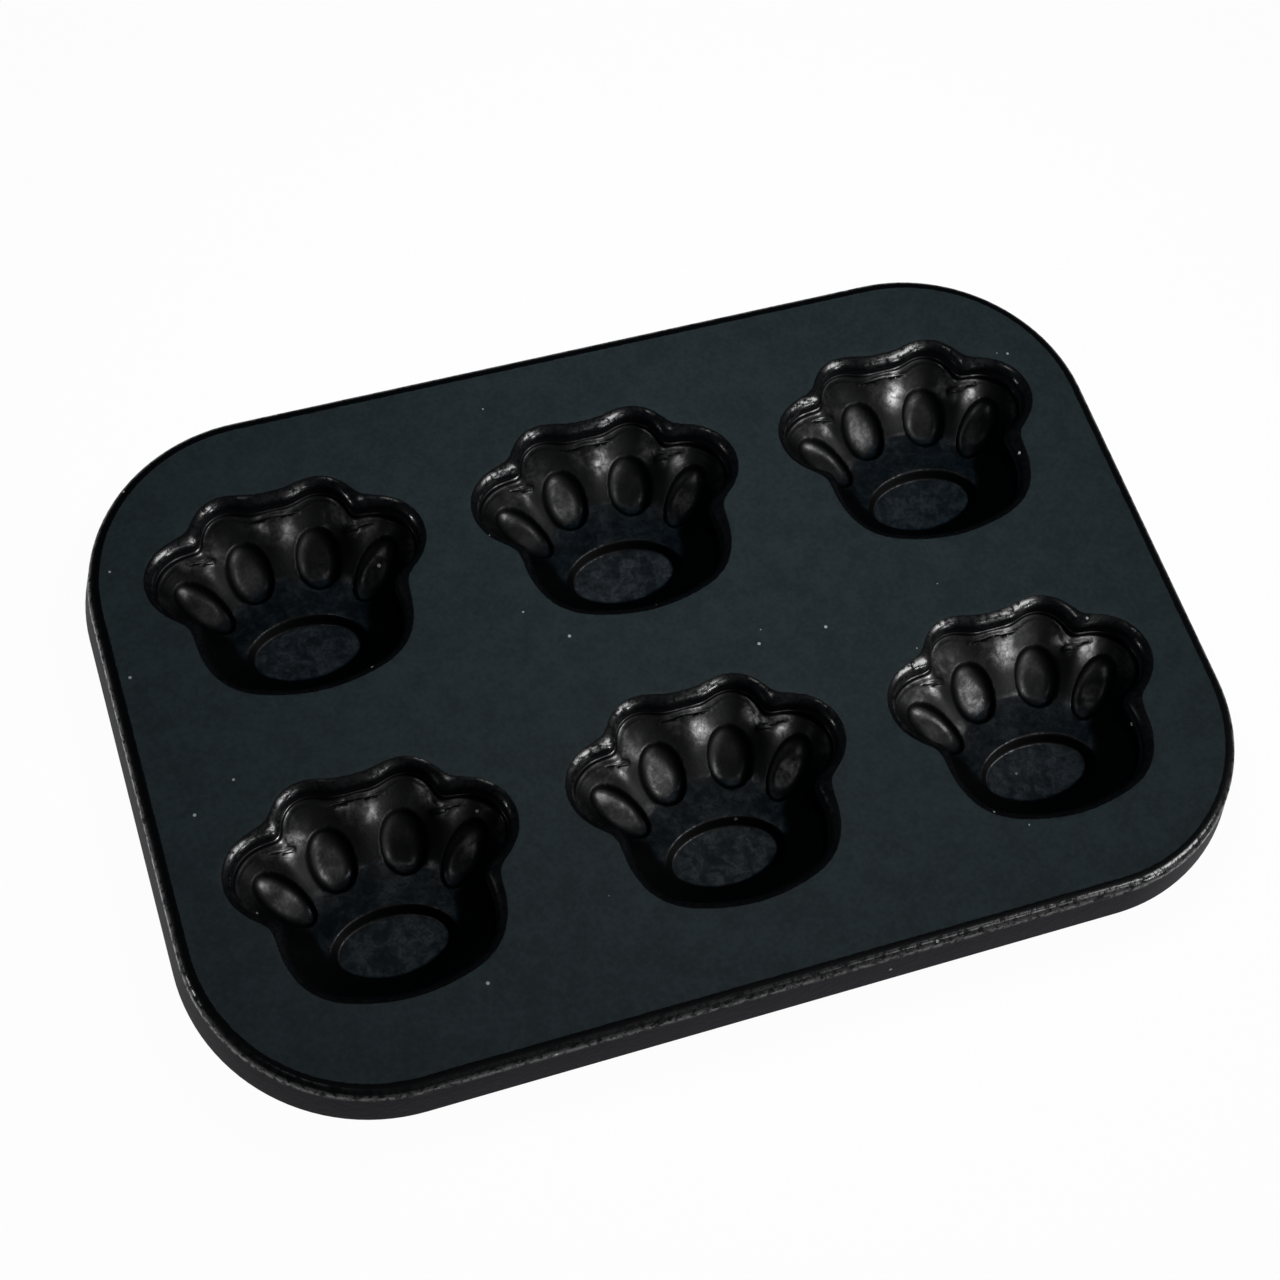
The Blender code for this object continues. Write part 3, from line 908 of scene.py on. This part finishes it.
def add_cup_floor(mesh, paw, ring):
    """Even grid inside the wall's last ring, pressed to the hollow's depth and joined to the ring."""
    band = paw.sizes.band
    cell = paw.sizes.cell
    inset = paw.lip + band + cell * FLOOR_CELLS
    half = max(abs(part) for point in ring for part in point[:2])
    count = math.ceil(2 * half / cell)
    floor = bmesh.ops.create_grid(mesh, x_segments=count, y_segments=count, size=count * cell / 2)["verts"]
    outside = [vert for vert in floor if -paw.field(vert.co.x, vert.co.y) < inset]
    dropped = set(outside)
    floor = [vert for vert in floor if vert not in dropped]
    bmesh.ops.delete(mesh, geom=outside, context="VERTS")
    for vert in floor:
        vert.co.z = PLATE_HIGH.z - paw.depth(vert.co.x, vert.co.y)
    merge(mesh)
    foot = paw.lip + band * SEAM_SHARE
    inner = {vert for vert in mesh.verts if -paw.field(vert.co.x, vert.co.y) > foot}
    fill(mesh, [edge for edge in mesh.edges if edge.is_boundary and inner.issuperset(edge.verts)])
    foot = paw.lip + band * SMOOTH_SHARE
    level = [vert for vert in mesh.verts
             if foot < -paw.field(vert.co.x, vert.co.y) < inset + cell * SMOOTH_CELLS]
    for _ in range(SMOOTH_ROUNDS):
        bmesh.ops.smooth_vert(mesh, verts=level, factor=SMOOTH_FACTOR, use_axis_z=True)


def mark_polish(mesh, paw):
    """Attributes for the flat floor, outside which the colour is painted dark as shade, and for the coating's
    gloss.
    """
    mesh.verts.layers.float.new("floor")
    mesh.verts.layers.float.new("polish")
    # A new layer moves the older ones, so both are looked up once they are there
    floor, polish = (mesh.verts.layers.float[name] for name in ("floor", "polish"))
    mesh.normal_update()
    for vert in mesh.verts:
        vert[floor], vert[polish] = paw.polish(vert.co.x, vert.co.y, abs(vert.normal.z))


class MOULD_OT_stage(bpy.types.Operator):
    """Pale floor, soft lamps and the camera"""

    bl_idname = "mould.stage"
    bl_label = "Stage"

    def execute(self, context):
        look = context.scene.stage_look
        add_floor(look)
        for name, azimuth, elevation, distance, side, watts, rays in LAMPS:
            back = towards(math.radians(azimuth), math.radians(elevation))
            add_lamp(name, back * distance, side, watts, rays)
        add_sky(context.scene, look.sky)
        add_camera(context.scene, look)
        context.scene.view_settings.view_transform = "Standard"
        return {"FINISHED"}


def towards(azimuth, elevation):
    """Direction at an azimuth from the near side towards +X, and at an elevation."""
    out = math.cos(elevation)
    return Vector((math.sin(azimuth) * out, -math.cos(azimuth) * out, math.sin(elevation)))


def add_floor(look):
    """Square floor under the mould."""
    mesh = bmesh.new()
    bmesh.ops.create_grid(mesh, x_segments=1, y_segments=1, size=FLOOR_HALF)
    data = finished("floor", mesh)
    data.materials.append(pale_floor(look))
    floor = bpy.data.objects.new("floor", data)
    bpy.context.scene.collection.objects.link(floor)
    floor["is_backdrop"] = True


def add_lamp(name, spot, side, watts, rays):
    """Square soft lamp that looks at the middle of the mould."""
    lamp = bpy.data.lights.new(name, "AREA")
    lamp.size = side
    lamp.energy = watts
    item = bpy.data.objects.new(name, lamp)
    item.location = spot
    item.visible_diffuse = rays != "glossy"
    item.visible_glossy = rays != "diffuse"
    item.rotation_euler = (-spot).to_track_quat("-Z", "Y").to_euler()
    bpy.context.scene.collection.objects.link(item)


def add_sky(scene, strength):
    """Even pale light from all round."""
    sky = bpy.data.worlds.new("sky")
    sky.use_nodes = True
    back = sky.node_tree.nodes["Background"]
    back.inputs["Color"].default_value = (1.0, 1.0, 1.0, 1.0)
    back.inputs["Strength"].default_value = strength
    scene.world = sky


def add_camera(scene, look):
    """Camera at the photograph's angle."""
    camera = bpy.data.cameras.new("camera")
    camera.lens = look.lens
    camera.sensor_width = SENSOR
    item = bpy.data.objects.new("camera", camera)
    back = towards(look.azimuth, look.elevation)
    level = Vector((math.cos(look.azimuth), math.sin(look.azimuth), 0.0))
    across = level * math.cos(look.roll) + back.cross(level) * math.sin(look.roll)
    item.matrix_world = Matrix((across, back.cross(across), back)).transposed().to_4x4()
    item.location = look.eye
    scene.collection.objects.link(item)
    scene.camera = item


class MOULD_PT_panel(bpy.types.Panel):
    """The mould's pieces and its stage"""

    bl_label = "Paw mould"
    bl_space_type = "VIEW_3D"
    bl_region_type = "UI"
    bl_category = "Mould"

    def draw(self, context):
        for name, operators in PANEL_ROWS:
            group = getattr(context.scene, name)
            box = self.layout.box()
            for size in size_names(group):
                box.prop(group, size)
            for operator in operators:
                box.operator(operator)


PANEL_ROWS = (
    ("plate_sizes", ("mould.plate", "mould.border_wire")),
    ("paw_sizes", ("mould.cups",)),
    ("finishes", ()),
    ("stage_look", ("mould.stage",)),
)
GROUPS = {"plate_sizes": PlateSizes, "paw_sizes": PawSizes, "finishes": Finishes, "stage_look": StageLook}
CLASSES = (MOULD_OT_plate, MOULD_OT_wire, MOULD_OT_cups, MOULD_OT_stage, MOULD_PT_panel)


def register():
    for name, group in GROUPS.items():
        bpy.utils.register_class(group)
        setattr(bpy.types.Scene, name, PointerProperty(type=group))
    for item in CLASSES:
        bpy.utils.register_class(item)


def unregister():
    for item in reversed(CLASSES):
        bpy.utils.unregister_class(item)
    for name, group in GROUPS.items():
        delattr(bpy.types.Scene, name)
        bpy.utils.unregister_class(group)


def main():
    """Build everything in order and work out both boxes."""
    register()
    bpy.ops.mould.plate()
    bpy.ops.mould.border_wire()
    bpy.ops.mould.cups()
    bpy.ops.mould.stage()
    bpy.context.view_layer.update()
    boxes = {"solids": SOLIDS_BOX, "visual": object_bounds()}
    boxes = {name: [list(corner) for corner in box] for name, box in boxes.items()}


if __name__ == "__main__":
    main()
